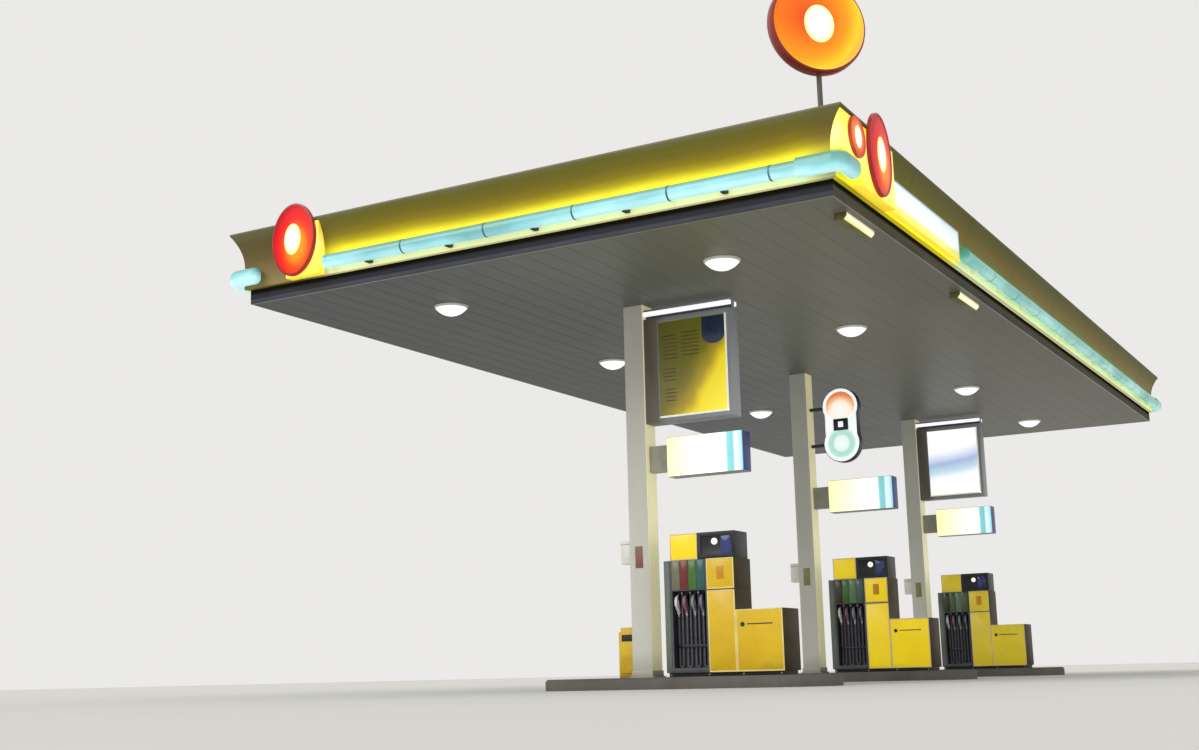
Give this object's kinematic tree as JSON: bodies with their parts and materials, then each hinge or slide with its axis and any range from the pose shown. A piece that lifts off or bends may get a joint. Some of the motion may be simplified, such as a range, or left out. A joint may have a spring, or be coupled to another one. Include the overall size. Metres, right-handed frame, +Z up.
{
  "type": "filling station canopy",
  "caption": "Flat filling station canopy on a row of square columns, with a coved lit fascia, light tubes that turn its corners, signs, and islands with nozzle dispensers.",
  "frame": {"origin": "on the ground, under the middle of the roof and of the middle column", "axes": "+Z up; +Y along the row of columns; +X along the islands, from the columns to the dispensers"},
  "size_m": [8.85, 18.8, 7.875],
  "materials": {
    "roof_sheet": "matt grey coated steel sheet",
    "roof_steel": "matt grey paint",
    "soffit_panel": "satin off-white panels",
    "fascia_panel": "satin yellow paint, lit by the tube",
    "tube_diffuser": "lit pale blue diffuser",
    "bracket_paint": "matt dark paint",
    "cabinet_face": "lit yellow face",
    "oval_face": "lit red face",
    "ring_face": "lit orange face",
    "white_face": "lit white face",
    "roof_sign_face": "lit orange-yellow face",
    "mast_paint": "matt dark grey paint",
    "white_paint": "satin white paint",
    "light_lens": "lit opal lens",
    "edge_light": "lit pale yellow lens",
    "column_paint": "satin off-white paint",
    "case_paint": "satin grey paint",
    "flag_face": "lit pale face",
    "island_concrete": "cast concrete",
    "bin_plastic": "moulded yellow plastic",
    "bay_paint": "dark grey paint",
    "yellow_paint": "gloss yellow paint",
    "head_plastic": "gloss black plastic",
    "nozzle_plastic": "dark moulded plastic",
    "hose_rubber": "black rubber"
  },
  "bodies": {
    "root": {"roof_deck": "roof_sheet", "roof_frame": "roof_steel", "soffit": "soffit_panel", "front_fascia": "fascia_panel", "right_fascia": "fascia_panel", "back_fascia": "fascia_panel", "left_fascia": "fascia_panel", "front_light_tube": "tube_diffuser", "right_light_tube": "tube_diffuser", "back_light_tube": "tube_diffuser", "left_light_tube": "tube_diffuser", "tube_brackets": "bracket_paint", "sign_cabinets": "cabinet_face", "oval_signs": "oval_face", "ring_signs": "ring_face", "blank_panels": "white_face", "roof_sign": "roof_sign_face", "roof_sign_mast": "mast_paint", "soffit_light_trims": "white_paint", "soffit_light_lenses": "light_lens", "edge_lights": "edge_light", "column_1": "column_paint", "column_2": "column_paint", "column_3": "column_paint", "column_boxes": "white_paint", "poster_case_1": "case_paint", "poster_case_3": "case_paint", "badge_sign_2": "white_face", "poster_lights": "light_lens", "flag_sign_1": "flag_face", "flag_sign_2": "flag_face", "flag_sign_3": "flag_face", "island_1": "island_concrete", "island_2": "island_concrete", "island_3": "island_concrete", "island_bin": "bin_plastic", "dispenser_1_bay": "bay_paint", "dispenser_2_bay": "bay_paint", "dispenser_3_bay": "bay_paint", "dispenser_1_cladding": "yellow_paint", "dispenser_2_cladding": "yellow_paint", "dispenser_3_cladding": "yellow_paint", "dispenser_1_head": "head_plastic", "dispenser_2_head": "head_plastic", "dispenser_3_head": "head_plastic", "nozzles": "nozzle_plastic", "hoses": "hose_rubber", "hose_rails": "bay_paint"}
  },
  "joints": []
}
